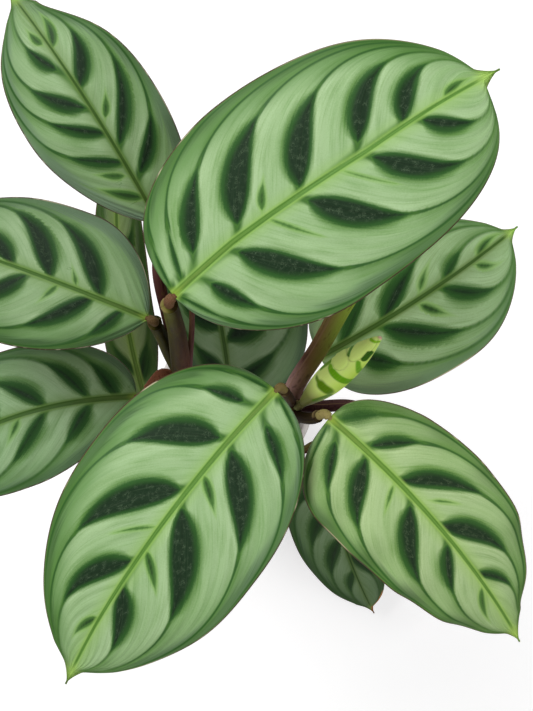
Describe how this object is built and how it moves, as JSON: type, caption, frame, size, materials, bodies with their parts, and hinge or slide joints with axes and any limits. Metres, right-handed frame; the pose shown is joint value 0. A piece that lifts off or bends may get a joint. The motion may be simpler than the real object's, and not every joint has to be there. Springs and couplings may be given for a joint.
{
  "type": "fishbone prayer plant in a plain pot",
  "caption": "Potted foliage plant with two shoots of broad oval leaves, each marked with dark lens shaped stripes along its side veins, in a small plain round pot.",
  "frame": {"origin": "centre of the pot's flat foot", "axes": "+Z up through the pot's axis; seen from above, +Y is up and +X is right in the picture"},
  "size_m": [0.243, 0.2657, 0.3022],
  "materials": {
    "leaf": "semi-gloss pale green leaf with dark green stripes",
    "leaf_dark": "semi-gloss older, darker green leaf",
    "new_leaf": "semi-gloss lime green rolled leaf",
    "stem": "satin olive and maroon petioles",
    "soil": "rough dark potting mix",
    "pot": "satin off-white glaze"
  },
  "bodies": {
    "root": {"pot": "pot", "soil": "soil", "stem_left": "stem", "stem_right": "stem", "rolled_leaf": "new_leaf", "leaf_top": "leaf", "leaf_front_left": "leaf", "leaf_front_right": "leaf", "leaf_upper_left": "leaf", "leaf_left": "leaf", "leaf_lower_left": "leaf", "leaf_right": "leaf", "leaf_low_front": "leaf_dark", "leaf_under_middle": "leaf_dark", "leaf_under_left": "leaf_dark", "leaf_under_top": "leaf", "leaf_under_base": "leaf", "leaf_under_right": "leaf"}
  },
  "joints": []
}
